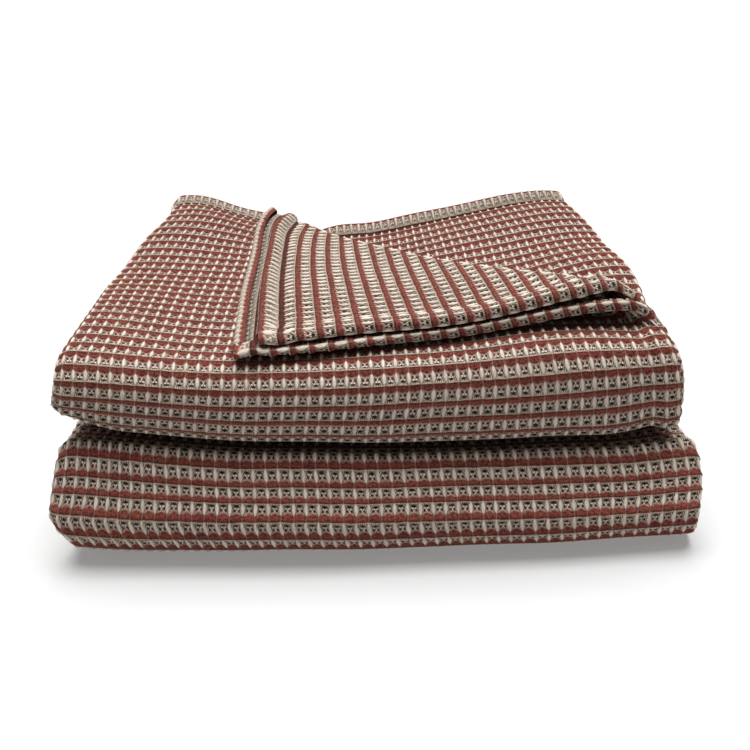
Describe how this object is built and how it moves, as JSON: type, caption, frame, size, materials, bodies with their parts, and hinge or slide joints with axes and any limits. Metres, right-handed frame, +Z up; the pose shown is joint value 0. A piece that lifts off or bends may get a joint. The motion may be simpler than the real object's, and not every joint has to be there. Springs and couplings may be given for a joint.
{
  "type": "folded waffle-weave throw blanket",
  "caption": "Woven cotton throw with raised waffle stripes, folded into a soft stack with one corner of its top layers turned over.",
  "frame": {"origin": "middle of the underside of the folded stack, on the surface it lies on", "axes": "+Z up, X along the stripes and the long side of the stack, -Y towards the side with the two round folds"},
  "size_m": [0.4446, 0.3551, 0.1739],
  "materials": {
    "throw": "matt terracotta and cream cotton in a deep waffle weave"
  },
  "bodies": {
    "root": {"throw": "throw"}
  },
  "joints": []
}
